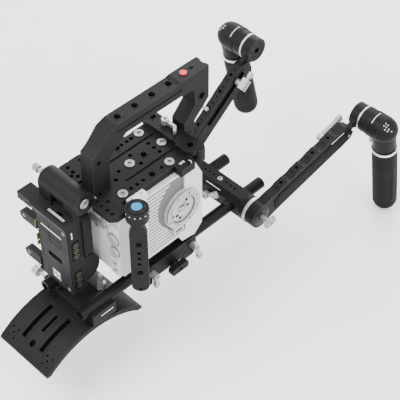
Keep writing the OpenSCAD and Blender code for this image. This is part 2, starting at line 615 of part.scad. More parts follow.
// arched plate with slots, bent between the front and the rear edge
module arch(r0, r1) difference() {
  translate([-99, -130]) circle(r = r1, $fn = 96);
  translate([-99, -130]) circle(r = r0, $fn = 96);
  translate([-300, -400]) square([600, 352]);
  translate([-300, -300]) square([128, 600]);
  translate([-26, -300]) square([200, 600]);
}
module shoulder_plate() color([0.09, 0.09, 0.1]) lift() difference() {
  side(-42, 42) arch(106, 111.8);
  for (s = [-1, 1]) {
    bx(s * 15.5 - 3.2, s * 15.5 + 3.2, -158, -112, -60, -10);
    for (p = [[0, 0], [4.5, 4.5], [-4.5, 4.5], [4.5, -4.5], [-4.5, -4.5]])
      cz(-60, -10, s * 30 + p[0], -161 + p[1], 1.4);
    cz(-60, -10, s * 30, -99, small_r);
  }
  bx(-2.2, 2.2, -142, -118, -60, -10);
  cz(-60, -10, 0, -157, big_r);
  cz(-60, -10, 0, -42, small_r);
}
module shoulder_cushion() color([0.05, 0.05, 0.05]) lift()
  side(-38, 38) arch(94, 105.6);

camera_body();
side_port();
lens_mount();
rear_panel();
dial_upper();
dial_lower();
rear_connector();
rear_bracket();
cable_clip();
top_plate();
top_screws();
front_bracket();
side_clamp();
cheese_plate();
top_handle();
record_button();
front_lever();
side_bracket();
side_arm();
blue_button();
hinge_bracket();
battery_plate();
battery_frame();
battery_hinge();
battery_ports();
battery_screws();
hinge_screw();
riser_plate();
bridge_plate();
rod_levers_front();
rod_levers_rear();
dovetail_knob();
rods();
crossbar();
crossbar_lever();
crossbar_rings();
arm_right();
arm_pad_right();
pivot_bolt_right();
extension_right();
arm_lever_right();
ring_right();
knuckle_right();
grip_right();
grip_lever_right();
arm_left();
pivot_bolt_left();
thumb_screw_left();
extension_left();
arm_lever_left();
ring_left();
knuckle_left();
grip_left();
grip_lever_left();
shoulder_clamp();
shoulder_plate();
shoulder_cushion();
clamp_knob();
release_lever();
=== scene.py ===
# Looks for the cinema camera rig: materials, fine detail, floor, light and camera.
import json
import math
import bmesh
import bpy
from mathutils import Matrix, Vector

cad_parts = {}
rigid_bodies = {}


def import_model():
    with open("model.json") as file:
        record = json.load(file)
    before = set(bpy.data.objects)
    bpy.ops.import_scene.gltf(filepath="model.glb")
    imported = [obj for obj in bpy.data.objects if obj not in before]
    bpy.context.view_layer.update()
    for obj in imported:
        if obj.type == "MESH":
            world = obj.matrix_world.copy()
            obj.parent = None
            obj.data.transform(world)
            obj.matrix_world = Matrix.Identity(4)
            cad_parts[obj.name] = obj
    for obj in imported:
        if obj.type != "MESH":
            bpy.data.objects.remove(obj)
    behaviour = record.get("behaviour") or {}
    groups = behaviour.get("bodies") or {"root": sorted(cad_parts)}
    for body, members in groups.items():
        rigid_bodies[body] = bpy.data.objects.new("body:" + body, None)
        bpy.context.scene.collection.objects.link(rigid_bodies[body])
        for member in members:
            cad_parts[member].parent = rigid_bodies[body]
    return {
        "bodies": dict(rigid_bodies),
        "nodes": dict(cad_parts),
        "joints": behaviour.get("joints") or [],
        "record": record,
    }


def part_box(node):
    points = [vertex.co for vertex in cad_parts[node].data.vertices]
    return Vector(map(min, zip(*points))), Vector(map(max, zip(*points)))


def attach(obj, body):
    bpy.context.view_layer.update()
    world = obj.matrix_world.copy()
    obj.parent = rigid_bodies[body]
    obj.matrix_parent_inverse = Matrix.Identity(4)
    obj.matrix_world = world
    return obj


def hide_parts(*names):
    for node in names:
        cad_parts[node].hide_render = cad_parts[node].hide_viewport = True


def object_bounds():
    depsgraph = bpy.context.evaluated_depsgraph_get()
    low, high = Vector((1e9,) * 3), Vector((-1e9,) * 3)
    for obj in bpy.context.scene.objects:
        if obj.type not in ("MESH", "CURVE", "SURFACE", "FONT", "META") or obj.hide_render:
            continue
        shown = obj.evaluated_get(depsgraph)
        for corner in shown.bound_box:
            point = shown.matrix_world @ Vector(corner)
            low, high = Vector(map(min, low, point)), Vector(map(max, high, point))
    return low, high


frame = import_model()
cad_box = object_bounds()
nodes = frame["nodes"]
joints = {joint["name"]: joint for joint in frame["joints"]}
MM = 0.001
BACK, UP = 25.0, 18.0  # the row's origin, seen from the rods' axes
SHIFT = (0.0, BACK, -UP)
SHARP = math.radians(35)  # an edge sharper than this is bevelled or kept hard


def at(x, y, z):
    """A point given in millimetres from the rods' axes, in the row frame."""
    return Vector((x, y - BACK, z + UP)) * MM


def edge(node, axis, end):
    """A CAD node's lowest (end 0) or highest (end 1) place along an axis, from the rods' axes."""
    k = "xyz".index(axis)
    return round(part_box(node)[end][k] / MM + SHIFT[k], 1)


def middle(node, axis):
    return round((edge(node, axis, 0) + edge(node, axis, 1)) / 2, 1)


def half_size(node, axis):
    return round((edge(node, axis, 1) - edge(node, axis, 0)) / 2, 1)


def axle(joint):
    """A joint's place, from the rods' axes."""
    return Vector([round(v / MM + move, 4) for v, move in zip(joints[joint]["pos_m"], SHIFT)])


# ------------------------------------------------------------------ materials
DARK, DARK_SPECULAR, SPECULAR = 0.02, 0.08, 0.5  # near-black surfaces shine less
WEAR_HIGHLIGHT_RADIUS, RELIEF_DEPTH = 0.0006, 0.0003


def material(name, color, metallic=0.0, rough=(0.35, 0.5), tint=0.18, cloud=35.0,
             grain=1500.0, bump=0.12, stretch=(1, 1, 1), wear_and_highlight=None, specks=0.0):
    """A Principled surface: cloudy tint, mottled roughness, fine grain, edges lightened as wear and
    painted highlight.
    """
    m = bpy.data.materials.new(name)
    m.use_nodes = True
    t = m.node_tree
    t.nodes.clear()
    new, link = t.nodes.new, t.links.new
    out = new("ShaderNodeOutputMaterial")
    bsdf = new("ShaderNodeBsdfPrincipled")
    bsdf.inputs["Metallic"].default_value = metallic
    shine = DARK_SPECULAR if max(color) < DARK else SPECULAR
    bsdf.inputs["Specular IOR Level"].default_value = shine
    link(bsdf.outputs[0], out.inputs[0])
    coord = new("ShaderNodeTexCoord")
    clouds = new("ShaderNodeTexNoise")
    clouds.inputs["Scale"].default_value = cloud
    clouds.inputs["Detail"].default_value = 5.0
    link(coord.outputs["Object"], clouds.inputs["Vector"])
    low = [c * (1 - tint) for c in color] + [1]
    high = [min(1, c * (1 + tint)) for c in color] + [1]
    mix = new("ShaderNodeMix")
    mix.data_type = "RGBA"
    mix.inputs[6].default_value = low
    mix.inputs[7].default_value = high
    link(clouds.outputs["Fac"], mix.inputs[0])
    shade = mix.outputs[2]
    place = new("ShaderNodeMapping")
    place.inputs["Scale"].default_value = stretch
    link(coord.outputs["Object"], place.inputs["Vector"])
    fine = new("ShaderNodeTexNoise")
    fine.inputs["Scale"].default_value = grain
    fine.inputs["Detail"].default_value = 3.0
    link(place.outputs[0], fine.inputs["Vector"])
    if specks:
        spots = new("ShaderNodeMapRange")
        spots.inputs[1].default_value, spots.inputs[2].default_value = 0.62, 0.7
        spots.inputs[4].default_value = specks
        link(fine.outputs["Fac"], spots.inputs[0])
        dots = new("ShaderNodeMix")
        dots.data_type = "RGBA"
        dots.inputs[7].default_value = [min(1, c * 3 + 0.03) for c in color] + [1]
        link(spots.outputs[0], dots.inputs[0])
        link(shade, dots.inputs[6])
        shade = dots.outputs[2]
    # edges lightened through a bevel-normal mask: partly wear, partly a painted highlight along the
    # edges
    if wear_and_highlight:
        corner = new("ShaderNodeBevel")
        corner.samples = 4
        corner.inputs["Radius"].default_value = WEAR_HIGHLIGHT_RADIUS
        geo = new("ShaderNodeNewGeometry")
        dot = new("ShaderNodeVectorMath")
        dot.operation = "DOT_PRODUCT"
        link(corner.outputs[0], dot.inputs[0])
        link(geo.outputs["Normal"], dot.inputs[1])
        lit_worn_edge = new("ShaderNodeMapRange")
        lit_worn_edge.inputs[1].default_value, lit_worn_edge.inputs[2].default_value = 0.99, 0.8
        lit_worn_edge.inputs[4].default_value = wear_and_highlight[3]
        link(dot.outputs["Value"], lit_worn_edge.inputs[0])
        patchy_lit_wear = new("ShaderNodeMath")
        patchy_lit_wear.operation = "MULTIPLY"
        link(lit_worn_edge.outputs[0], patchy_lit_wear.inputs[0])
        link(clouds.outputs["Fac"], patchy_lit_wear.inputs[1])
        lit_wear_mix = new("ShaderNodeMix")
        lit_wear_mix.data_type = "RGBA"
        lit_wear_mix.inputs[7].default_value = list(wear_and_highlight[:3]) + [1]
        link(patchy_lit_wear.outputs[0], lit_wear_mix.inputs[0])
        link(shade, lit_wear_mix.inputs[6])
        shade = lit_wear_mix.outputs[2]
    link(shade, bsdf.inputs["Base Color"])
    gloss = new("ShaderNodeMapRange")
    gloss.inputs[3].default_value, gloss.inputs[4].default_value = rough
    gloss.inputs[1].default_value, gloss.inputs[2].default_value = 0.3, 0.7
    link(clouds.outputs["Fac"], gloss.inputs[0])
    link(gloss.outputs[0], bsdf.inputs["Roughness"])
    relief = new("ShaderNodeBump")
    relief.inputs["Strength"].default_value = bump
    relief.inputs["Distance"].default_value = RELIEF_DEPTH
    link(fine.outputs["Fac"], relief.inputs["Height"])
    link(relief.outputs[0], bsdf.inputs["Normal"])
    return m


# lighter colour for edges: partly wear, partly painted edge highlight
EDGE_WEAR_AND_HIGHLIGHT = (0.10, 0.10, 0.105, 0.7)
BLACK = material("black_anodised", (0.0070, 0.0070, 0.0078), 0.0, (0.40, 0.54), tint=0.3, wear_and_highlight=EDGE_WEAR_AND_HIGHLIGHT)
HANDLE = material("black_handle", (0.0085, 0.0085, 0.0092), 0.0, (0.42, 0.56), tint=0.3, wear_and_highlight=EDGE_WEAR_AND_HIGHLIGHT)
ARM = material("black_arm", (0.0066, 0.0066, 0.0072), 0.0, (0.38, 0.52), tint=0.3, wear_and_highlight=EDGE_WEAR_AND_HIGHLIGHT)
CASE = material("black_case", (0.0090, 0.0090, 0.0098), 0.0, (0.46, 0.6), tint=0.3, bump=0.25,
                grain=1100, wear_and_highlight=(0.07, 0.07, 0.07, 0.5))
RODS = material("black_rod", (0.006, 0.006, 0.0066), 0.0, (0.3, 0.4), stretch=(1, 0.08, 1))
SHELL = material("silver_shell", (0.56, 0.57, 0.59), 0.3, (0.4, 0.55), tint=0.05, bump=0.2)
PORT = material("silver_port", (0.36, 0.365, 0.38), 0.5, (0.3, 0.42), tint=0.05, bump=0.1)
TURNED = material("turned_metal", (0.46, 0.465, 0.48), 0.85, (0.22, 0.34), tint=0.06)
STEEL = material("steel", (0.30, 0.30, 0.31), 0.8, (0.24, 0.36), tint=0.08)
LEVER = material("satin_lever", (0.33, 0.33, 0.34), 0.7, (0.28, 0.42), tint=0.05)
RUBBER = material("grip_rubber", (0.0065, 0.0065, 0.0065), 0.0, (0.55, 0.7), bump=0.35, grain=2200)
FOAM = material("foam_rubber", (0.0065, 0.0065, 0.0065), 0.0, (0.75, 0.9), bump=0.6, grain=900,
                specks=0.35)
# a lighter copy of the pad's rubber for its studs: painted highlight on the studs
LIT_STUD_RUBBER = material("pad_rubber", (0.016, 0.016, 0.016), 0.0, (0.4, 0.5), bump=0.1)
RED = material("red_button", (0.42, 0.006, 0.010), 0.0, (0.25, 0.4), tint=0.08)
BLUE = material("blue_button", (0.012, 0.17, 0.33), 0.0, (0.2, 0.35), tint=0.7, cloud=330)
GOLD = material("gilt_ports", (0.012, 0.011, 0.010), 0.0, (0.3, 0.45))
KNOB = material("knob_black", (0.007, 0.007, 0.007), 0.0, (0.4, 0.55), wear_and_highlight=EDGE_WEAR_AND_HIGHLIGHT)

RIM = material("rim_black", (0.011, 0.011, 0.012), 0.1, (0.22, 0.32), bump=0.05)
# near-black: painted shade in holes, slots and grooves; also the black of the lens throat and the
# battery port faces
HOLE_SHADE_AND_BLACK = material("hole_shade_and_black", (0.0012, 0.0012, 0.0012), 0.0, (0.5, 0.6))
GLASS = material("sensor_glass", (0.01, 0.02, 0.03), 0.2, (0.08, 0.14), bump=0.02)
PALE = material("pale_paint", (0.62, 0.62, 0.62), 0.0, (0.4, 0.5), tint=0.05, bump=0.05)
BRIGHT = material("bright_ring", (0.86, 0.86, 0.88), 0.75, (0.2, 0.3), tint=0.04, bump=0.05)
GILT = material("gilt_ring", (0.11, 0.095, 0.065), 0.5, (0.25, 0.4))
PAPER = material("grey_paper", (0.20, 0.20, 0.20), 0.0, (0.6, 0.7), tint=0.2, cloud=420)
OLIVE = material("contact_paint", (0.13, 0.12, 0.015), 0.2, (0.4, 0.5))
# grey standing for shade in the fin valleys, the port and the rear recesses: painted shade
PAINTED_SHADE_GREY = material("painted_shade_grey", (0.10, 0.10, 0.105), 0.3, (0.45, 0.6), tint=0.06)

BY_SLOT = {
    "camera_shell": SHELL, "port_metal": PORT, "mount_steel": TURNED, "black_alloy": BLACK,
    "handle_alloy": HANDLE, "arm_alloy": ARM, "battery_case": CASE, "rod_black": RODS,
    "steel_screw": STEEL, "silver_lever": LEVER, "silver_ring": TURNED, "dial_silver": PORT,
    "port_gold": GOLD, "grip_rubber": RUBBER, "knob_black": KNOB, "pad_rubber": FOAM,
    "shoulder_alloy": BLACK, "red_button": RED, "blue_button": BLUE,
}
CAD_BEVEL = 0.0005
for part in frame["record"]["subparts"]:
    thing = nodes[part["node"]]
    thing.data.materials.clear()
    thing.data.materials.append(BY_SLOT[part["material_slot"]])
    edges = thing.modifiers.new("edges", "BEVEL")
    edges.width = CAD_BEVEL
    edges.segments = 2
    edges.limit_method = "ANGLE"
    edges.angle_limit = SHARP
    edges.harden_normals = True

# ------------------------------------------------------------------ local frames, in millimetres
RIG = Matrix.Scale(MM, 4) @ Matrix.Translation((0, -BACK, UP))
SIDES = ((1, "right"), (-1, "left"))
PIVOT = Vector((edge("arm_right", "x", 0), *axle("arm_right_pitch").yz))
ARM_THICK = round(edge("arm_right", "x", 1) - PIVOT.x, 1)
END_FACE = round(edge("extension_right", "x", 0) - PIVOT.x, 1)  # inner end of an extension
GRIP_X = middle("grip_right", "x") - PIVOT.x
GRIP_LENGTH = {1: 156, -1: 153}
PITCH, LEAN, REACH = {}, {}, {}
for s, side in SIDES:
    run = joints["extension_%s_slide" % side]["axis"]
    drop = joints["grip_lever_%s_turn" % side]["axis"]
    arm = axle("grip_%s_tilt" % side) - PIVOT
    PITCH[s] = round(math.degrees(math.atan2(run[2], run[1])), 1)
    LEAN[s] = round(math.degrees(math.atan2(drop[1], -drop[2])), 1)
    REACH[s] = round(math.hypot(arm.y, arm.z), 1)


def turned(axis, degrees):
    return Matrix.Rotation(math.radians(degrees), 4, axis)


def mirror(s):
    return Matrix.Diagonal((s, 1, 1, 1))


def arm_frame(s):
    """X outward from the arm's inner face, Y along the arm, Z across it."""
    return RIG @ mirror(s) @ Matrix.Translation(PIVOT) @ turned("X", PITCH[s])


def hang_frame(s):
    """At the rosette's axis, leaned with the grip, which hangs along -Z."""
    p = math.radians(PITCH[s])
    rosette = PIVOT + Vector((0, REACH[s] * math.cos(p), REACH[s] * math.sin(p)))
    return RIG @ mirror(s) @ Matrix.Translation(rosette) @ turned("X", LEAN[s])


HANGER = RIG @ Matrix.Translation((*axle("side_arm_swing").xy, 0)) @ turned("Z", 45)


# ------------------------------------------------------------------ building pieces
def basis(axis):
    """Two directions across an axis, and the axis."""
    w = Vector(axis).normalized()
    u = Vector((0, 0, 1)) if abs(w.z) < 0.9 else Vector((1, 0, 0))
    u = (u - w * u.dot(w)).normalized()
    return u, w.cross(u), w


def lathe(bm, place, axis, profile, steps=48, ring=False, shape=None):
    """Turns (radius, height) points round an axis; ring closes the profile on itself."""
    u, v, w = basis(axis)
    place = Vector(place)
    rows = []
    for r, h in profile:
        row = []
        for i in range(steps if r else 1):
            a = 2 * math.pi * i / steps
            k, rise = shape(a, r, h) if shape and r else (r, h)
            row.append(bm.verts.new(place + w * rise + (u * math.cos(a) + v * math.sin(a)) * k))
        rows.append(row)
    for a, b in zip(rows, rows[1:] + (rows[:1] if ring else [])):
        for i in range(steps):
            j = (i + 1) % steps
            if len(a) > 1 and len(b) > 1:
                bm.faces.new((a[i], b[i], b[j], a[j]))
            elif len(b) > 1:
                bm.faces.new((a[0], b[i], b[j]))
            elif len(a) > 1:
                bm.faces.new((a[i], b[0], a[j]))


def slab(bm, outline, plane, low, high):
    """A flat plate: outline lies in plane ("xy", "xz" or "yz"), between low and high."""
    put = {"xy": lambda p, h: (p[0], p[1], h), "xz": lambda p, h: (p[0], h, p[1]),
           "yz": lambda p, h: (h, p[0], p[1])}[plane]
    a = [bm.verts.new(put(p, low)) for p in outline]
    b = [bm.verts.new(put(p, high)) for p in outline]
    bm.faces.new(a)
    bm.faces.new(b)
    for i in range(len(a)):
        j = (i + 1) % len(a)
        bm.faces.new((a[i], a[j], b[j], b[i]))


def block(bm, x0, x1, y0, y1, z0, z1):
    slab(bm, [(x0, y0), (x1, y0), (x1, y1), (x0, y1)], "xy", z0, z1)


def strip(bm, points, width, plane, low, high):
    """A narrow plate that follows points."""
    pts = [Vector(p) for p in points]
    left, right = [], []
    for i, p in enumerate(pts):
        run = (pts[min(i + 1, len(pts) - 1)] - pts[max(i - 1, 0)]).normalized()
        side = Vector((-run.y, run.x)) * width / 2
        left.append(p + side)
        right.append(p - side)
    slab(bm, left + right[::-1], plane, low, high)


def disc(bm, place, axis, radius, rise=0.1, steps=24):
    lathe(bm, place, axis, [(0, 0), (radius, 0), (radius, rise), (0, rise)], steps)


def rim(bm, place, axis, r=3.97, wide=1.3):
    """The chamfered ring round a threaded hole."""
    lathe(bm, place, axis, [(r + 0.05, 0.02), (r + 0.25, 0.3), (r + wide - 0.2, 0.32),
                            (r + wide, 0.02)], 40, ring=True)


def spaced(a, b, count):
    return [a + (b - a) * i / (count - 1) for i in range(count)]


def piece(name, bm, body, look, frame=RIG, bevel=0.2, replaces=()):
    """Finishes a mesh drawn in millimetres and lets it ride on a body."""
    bmesh.ops.recalc_face_normals(bm, faces=bm.faces)
    mesh = bpy.data.meshes.new(name)
    bm.to_mesh(mesh)
    bm.free()
    mesh.transform(frame)
    if frame.determinant() < 0:
        mesh.flip_normals()
    for face in mesh.polygons:
        face.use_smooth = True
    obj = bpy.data.objects.new(name, mesh)
    bpy.context.scene.collection.objects.link(obj)
    mesh.materials.append(look)
    if bevel:
        soft = obj.modifiers.new("edges", "BEVEL")
        soft.width, soft.segments = bevel * MM, 2
        soft.limit_method, soft.angle_limit = "ANGLE", SHARP
        soft.harden_normals = True
    else:
        mesh.set_sharp_from_angle(angle=SHARP)
    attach(obj, body)
    if replaces:
        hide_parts(*replaces)
    return obj


# ------------------------------------------------------------------ cage and handle
CAGE_TOP, BRACKET_TOP = edge("top_plate", "z", 1), edge("front_bracket", "z", 1)
HANDLE_PEAK, HANDLE_X = edge("top_handle", "z", 1), edge("top_handle", "x", 1)
HANDLE_TOP = HANDLE_PEAK - 1.6
CAGE_HOLES = ((0, 25), (29, 10.3), (-29, 10.6))
BRACKET_HOLES = ((-33, 70.5), (30.5, 67.5))
HANDLE_HOLES = spaced(-9.6, 65.4, 4)
RULE_RISE = 0.12  # painted marks stand this much proud
bm = bmesh.new()
for x, y in CAGE_HOLES:
    rim(bm, (x, y, CAGE_TOP), (0, 0, 1))
for x, y in BRACKET_HOLES:
    rim(bm, (x, y, BRACKET_TOP), (0, 0, 1))
for y in HANDLE_HOLES:
    rim(bm, (0, y, HANDLE_TOP), (0, 0, 1))
rim(bm, (0, middle("record_button", "y"), HANDLE_PEAK), (0, 0, 1), 4.6, 1.2)
for s in (-1, 1):
    rim(bm, (s * HANDLE_X, 107, 182), (s, 0, 0), 4.4, 1.0)
piece("cage_hole_rims", bm, "rig", RIM)

SCREWS = ((0, 4), (0, 53), (-29, 45), (29, -33), (29, 37))
bm = bmesh.new()
for x, y in SCREWS:
    lathe(bm, (x, y, CAGE_TOP), (0, 0, 1), [
        (0, -9.4), (2.9, -9.4), (2.9, 0.05), (5.75, 0.05), (5.8, 1.0), (5.4, 1.4), (4.35, 1.4),
        (4.2, 1.1), (3.9, 1.1), (3.75, 1.4), (2.5, 1.4), (2.3, 0.9)], 48)
    lathe(bm, (x, y, CAGE_TOP), (0, 0, 1), [(2.3, 0.9), (2.0, -0.6), (0, -0.6)], 6)
piece("cage_screws", bm, "rig", STEEL, bevel=0, replaces=["top_screws"])

# pale generic rules, in place of any lettering
bm = bmesh.new()
block(bm, -36.4, -35.9, 29.6, 40.5, CAGE_TOP, CAGE_TOP + RULE_RISE)
block(bm, 38.4, 39.1, 42, 49.5, CAGE_TOP, CAGE_TOP + RULE_RISE)
block(bm, 40.1, 40.8, 42, 49.5, CAGE_TOP, CAGE_TOP + RULE_RISE)
strip(bm, [(41.8, 53.5), (43.6, 55), (46, 54.6), (47.2, 52.4)], 0.8, "xy",
      CAGE_TOP, CAGE_TOP + RULE_RISE)
piece("cage_rules", bm, "rig", PALE, bevel=0)

# ------------------------------------------------------------------ camera body
CAM_X, FIELD = edge("camera_body", "x", 1), 2.6  # right side, and how deep its field is
PORT_Y = middle("side_port", "y")
PORT_Z = edge("side_port", "z", 1) - half_size("side_port", "y")
CONTACTS = ((5, 11), (6.6, 1.4), (-17, 6.6), (-16.6, -2.4), (-10, -5.4), (-5.4, -11.6))
PORT_SCREWS = [math.radians(22.5 + 45 * i) for i in range(8)]
PORT_CIRCLE = 22.6
# a grey sheet on the floor between the fins: painted shade of the fins
bm = bmesh.new()
slab(bm, [(-10.9, 34.1), (-10.9, 126.5), (45.9, 126.5), (46.9, 34.1)], "yz",
     CAM_X - FIELD + 0.02, CAM_X - FIELD + 0.12)
piece("painted_shade_grey", bm, "rig", PAINTED_SHADE_GREY, bevel=0)

bm = bmesh.new()
face = CAM_X + 3.2
lathe(bm, (face, PORT_Y, PORT_Z), (1, 0, 0), [(24.6, 0), (24.8, 0.3), (25.3, 0.3), (25.5, 0)], 72,
      ring=True)
lathe(bm, (face, PORT_Y, PORT_Z), (1, 0, 0), [(19.2, 0), (19.4, 0.35), (20.4, 0.35), (20.6, 0)],
      72, ring=True)
for a in PORT_SCREWS:
    spot = (face - 0.9, PORT_Y + PORT_CIRCLE * math.cos(a), PORT_Z + PORT_CIRCLE * math.sin(a))
    lathe(bm, spot, (1, 0, 0), [(0, 0.45), (0.5, 0.45), (0.6, 0.75), (1.0, 0.7), (1.3, 0)], 20)
lathe(bm, (CAM_X + 1.8, PORT_Y - 1, PORT_Z), (1, 0, 0), [(15.6, 0), (15.8, 0.3), (16.4, 0.3),
                                                        (16.6, 0)], 60, ring=True)
lathe(bm, (CAM_X + 1.8, PORT_Y - 2, PORT_Z + 4), (1, 0, 0), [(6.6, 0), (6.8, 0.3), (7.4, 0.3),
                                                            (7.6, 0)], 36, ring=True)
piece("port_trim", bm, "rig", PORT, bevel=0)

# black discs and slots in the port's contact holes, screw sockets and slots: painted shade
bm = bmesh.new()
for dy, dz in CONTACTS:
    disc(bm, (CAM_X + 1.78, PORT_Y + dy, PORT_Z + dz), (1, 0, 0), 2.0, 0.3)
lathe(bm, (CAM_X + 1.78, PORT_Y - 1, PORT_Z), (1, 0, 0), [(17.4, 0), (17.4, 0.12), (18.5, 0.12),
                                                         (18.5, 0)], 72, ring=True)
block(bm, CAM_X + 1.0, CAM_X + 1.4, PORT_Y - 5.4, PORT_Y + 1.9, PORT_Z + 3.7, PORT_Z + 6.3)
block(bm, CAM_X + 1.0, CAM_X + 1.4, 28.6, 38.9, 42.6, 45.4)
for a in PORT_SCREWS:
    spot = (face - 0.08, PORT_Y + PORT_CIRCLE * math.cos(a), PORT_Z + PORT_CIRCLE * math.sin(a))
    disc(bm, spot, (1, 0, 0), 0.6, 0.1)
piece("port_hole_shade", bm, "rig", HOLE_SHADE_AND_BLACK, bevel=0)
# darker grey rings inside the port: painted shade
bm = bmesh.new()
lathe(bm, (CAM_X + 1.8, PORT_Y - 2, PORT_Z + 4), (1, 0, 0), [(5.2, 0), (5.2, 0.1), (6.4, 0.1),
                                                            (6.4, 0)], 48, ring=True)
lathe(bm, (face, PORT_Y, PORT_Z), (1, 0, 0), [(20.7, 0), (20.7, 0.1), (21.1, 0.1), (21.1, 0)], 72,
      ring=True)
piece("port_painted_shade", bm, "rig", PAINTED_SHADE_GREY, bevel=0)

# lens throat: baffle, sensor window and the locking lugs of the mount
LENS_Z, LENS_Y = middle("lens_mount", "z"), edge("lens_mount", "y", 1)
bm = bmesh.new()
lathe(bm, (0, 60.4, LENS_Z), (0, 1, 0), [(0, 0), (21.9, 0), (21.9, 12), (21, 12), (19, 5),
                                        (17, 1.2), (0, 1.2)], 64)
piece("lens_baffle", bm, "rig", HOLE_SHADE_AND_BLACK, bevel=0)
bm = bmesh.new()
slab(bm, [(-12, LENS_Z - 7), (12, LENS_Z - 7), (12, LENS_Z + 7), (-12, LENS_Z + 7)], "xz",
     61.7, 62.2)
piece("sensor_window", bm, "rig", GLASS)
bm = bmesh.new()
lathe(bm, (0, LENS_Y, LENS_Z), (0, 1, 0), [(24.1, -11), (24.1, 0.02), (25.2, 0.35), (29, 0.35),
                                          (29.6, 0.02), (27, -0.5)], 72, ring=True)
for k in range(3):
    centre = math.radians(90 + 120 * k)
    arc = [centre + math.radians(d) for d in spaced(-24, 24, 9)]
    outline = [(24.2 * math.cos(t), LENS_Z + 24.2 * math.sin(t)) for t in arc]
    outline += [(22.2 * math.cos(t), LENS_Z + 22.2 * math.sin(t)) for t in reversed(arc)]
    slab(bm, outline, "xz", 82, 84)
piece("mount_lugs", bm, "rig", TURNED)

# rear face: dial pockets, knurled caps, connector inserts
DIALS = [(label, middle("dial_" + label, "x"), middle("dial_" + label, "z"),
          half_size("dial_" + label, "x")) for label in ("upper", "lower")]
REAR = edge("rear_panel", "y", 0)
CONNECTORS = (40, 51)
for label, x, z, r in DIALS:
    bm = bmesh.new()
    lathe(bm, (x, REAR - 0.4, z), (0, -1, 0), [
        (0, -3), (1.9, -3), (1.9, 0), (r - 0.4, 0), (r, 0.4), (r, 2.9), (r - 0.5, 3.5),
        (r - 1.8, 3.6), (r - 2.3, 3.1), (r - 2.6, 3.1), (r - 3, 3.5), (0, 3.6)], 120,
        shape=lambda a, k, h: (k - 0.35 * (h > 0.2 and h < 3.3) * (math.sin(30 * a) > 0), h))
    block(bm, x - 0.5, x + 0.5, REAR - 4.1, REAR - 3.8, z + 1, z + r - 2.6)
    piece("dial_cap_" + label, bm, "dial_" + label, PORT, bevel=0,
          replaces=["dial_" + label])
bm = bmesh.new()
for label, x, z, r in DIALS:
    lathe(bm, (x, REAR, z), (0, -1, 0), [(r + 0.7, 0.02), (r + 0.9, 0.7), (r + 1.5, 0.7),
                                        (r + 1.8, 0.02)], 48, ring=True)
    disc(bm, (x, REAR, z), (0, -1, 0), r + 0.6, 0.08, 48)
strip(bm, [(24, 82), (24.5, 97), (27, 105), (33, 110.5), (42, 111)], 1.2, "xz", REAR - 0.6, REAR)
strip(bm, [(28, 114), (41, 115), (41, 121), (28, 120)], 0.9, "xz", REAR - 0.5, REAR)
for z in CONNECTORS:
    for x in (34, 37.4):
        disc(bm, (x, REAR - 1, z), (0, -1, 0), 1.1, 0.9)
block(bm, -28, -12, REAR - 0.5, REAR, 60, 61)
block(bm, -28, -12, REAR - 0.5, REAR, 66, 67)
piece("rear_trim", bm, "rig", PORT, bevel=0.1)
# darker grey behind the connectors and round the dial pockets: painted shade
bm = bmesh.new()
for z in CONNECTORS:
    block(bm, 32.2, 39.2, REAR - 1.1, REAR - 0.98, z - 3.3, z + 3.3)
for label, x, z, r in DIALS:
    lathe(bm, (x, REAR, z), (0, -1, 0), [(r + 0.62, 0.1), (r + 0.62, 0.35), (r + 1.1, 0.35),
                                        (r + 1.1, 0.1)], 48, ring=True)
piece("rear_recess_shade", bm, "rig", PAINTED_SHADE_GREY, bevel=0)

# ------------------------------------------------------------------ hanging arm
HANGER_HOLES = (92, 46)
bm = bmesh.new()
for z in HANGER_HOLES:
    rim(bm, (0, -4, z), (0, -1, 0), 3.97, 2.0)
    rim(bm, (0, 4, z), (0, 1, 0), 3.97, 2.0)
lathe(bm, (0, 0, 140.2), (0, 0, 1), [(13.02, 2.0), (13.3, 2.2), (13.3, 4.2), (13.02, 4.4)], 64,
      ring=True)
piece("hanger_rims", bm, "side_arm", RIM, HANGER)
# black dots at the locating pin holes: painted shade
bm = bmesh.new()
for z in HANGER_HOLES:
    for degrees in (45, 135, 225, 315):
        t = math.radians(degrees)
        disc(bm, (6.9 * math.cos(t), -3.98, z + 6.9 * math.sin(t)), (0, -1, 0), 0.8, 0.12, 12)
piece("hanger_pin_hole_shade", bm, "side_arm", HOLE_SHADE_AND_BLACK, HANGER, bevel=0)
bm = bmesh.new()
for i in range(6):
    a = math.radians(-150 + 26 * i)
    out = (math.cos(a), math.sin(a), 0)
    disc(bm, (13.2 * math.cos(a), 13.2 * math.sin(a), 143.4), out, 0.7, 0.3)
piece("hanger_dots", bm, "side_arm", PALE, HANGER, bevel=0)
bm = bmesh.new()
lathe(bm, (0, 0, 0), (0, 0, 1), [(6.5, 147.5), (6.5, 149.1), (7.0, 149.5), (8.3, 149.5),
                                (10.4, 147.4), (10.4, 146.9), (8.6, 147)], 64, ring=True)
piece("button_bezel", bm, "side_arm", RIM, HANGER)
bm = bmesh.new()
lathe(bm, (0, 0, 0), (0, 0, 1), [
    (0, 135.6), (1.9, 135.6), (1.9, 144.7), (6.2, 144.7), (6.2, 148.3), (5.9, 148.8), (5.0, 148.9),
    (3.4, 149), (2.6, 148.9), (2.2, 148.6), (1.0, 148.6), (0, 148.7)],
    72, shape=lambda a, r, h: (r, h - 0.5 * (3 < r < 5.5) * (math.sin(6 * a) > 0.2)))
piece("button_cap", bm, "blue_button", BLUE, HANGER, bevel=0,
      replaces=["blue_button"])

